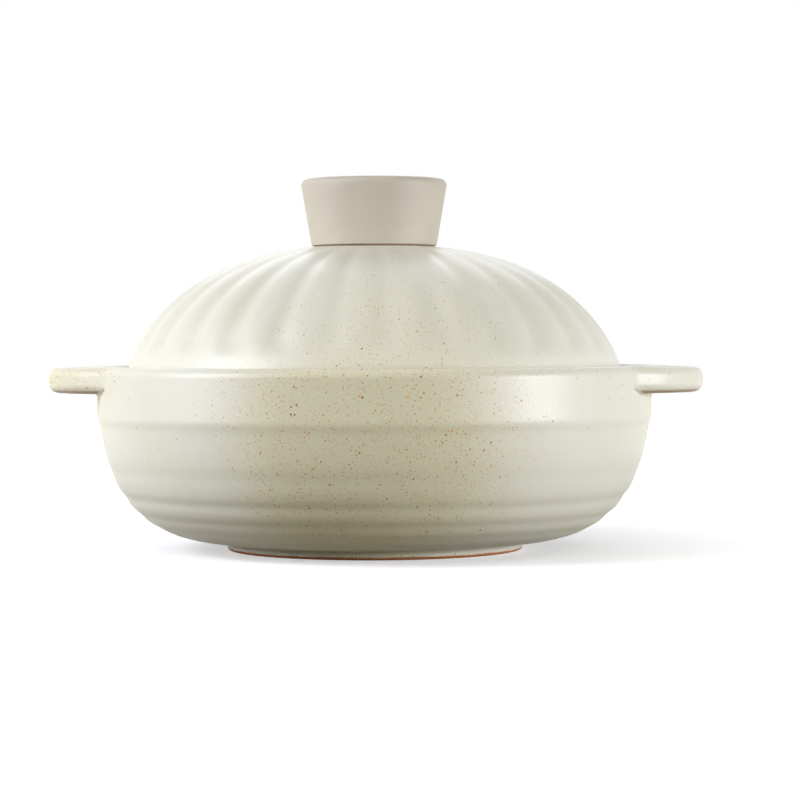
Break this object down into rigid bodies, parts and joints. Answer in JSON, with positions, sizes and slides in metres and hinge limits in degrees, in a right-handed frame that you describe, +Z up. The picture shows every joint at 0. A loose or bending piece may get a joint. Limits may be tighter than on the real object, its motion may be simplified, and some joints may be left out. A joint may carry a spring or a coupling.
{
  "type": "ceramic casserole pot",
  "caption": "Round stoneware casserole pot with rim ears, a fluted dome lid that lifts out of the pot's gallery, and a flared knob screwed to the lid.",
  "frame": {"origin": "centre of the foot ring's flat underside, on the surface the pot stands on", "axes": "+Z up along the pot's centre line; +X along the two ears, to the right in the picture; the picture looks along +Y"},
  "size_m": [0.2964, 0.25, 0.1672],
  "materials": {
    "glaze": "satin off-white glaze with fine iron-brown specks over stoneware; foot ring and lid seat left bare",
    "knob_resin": "matte beige heat-proof moulding",
    "brass": "turned, plain",
    "steel": "stainless, bright",
    "silicone": "matte taupe silicone"
  },
  "bodies": {
    "pot": {"pot_body": "glaze"},
    "lid": {"lid": "glaze", "knob": "knob_resin", "knob_insert": "brass", "knob_gasket": "silicone", "knob_screw": "steel", "screw_washer": "steel", "seal_washer": "silicone"}
  },
  "joints": [
    {"name": "lid_lift", "type": "slide", "parent": "pot", "child": "lid", "axis": [0, 0, 1], "range_m": [0, 0.18]}
  ]
}
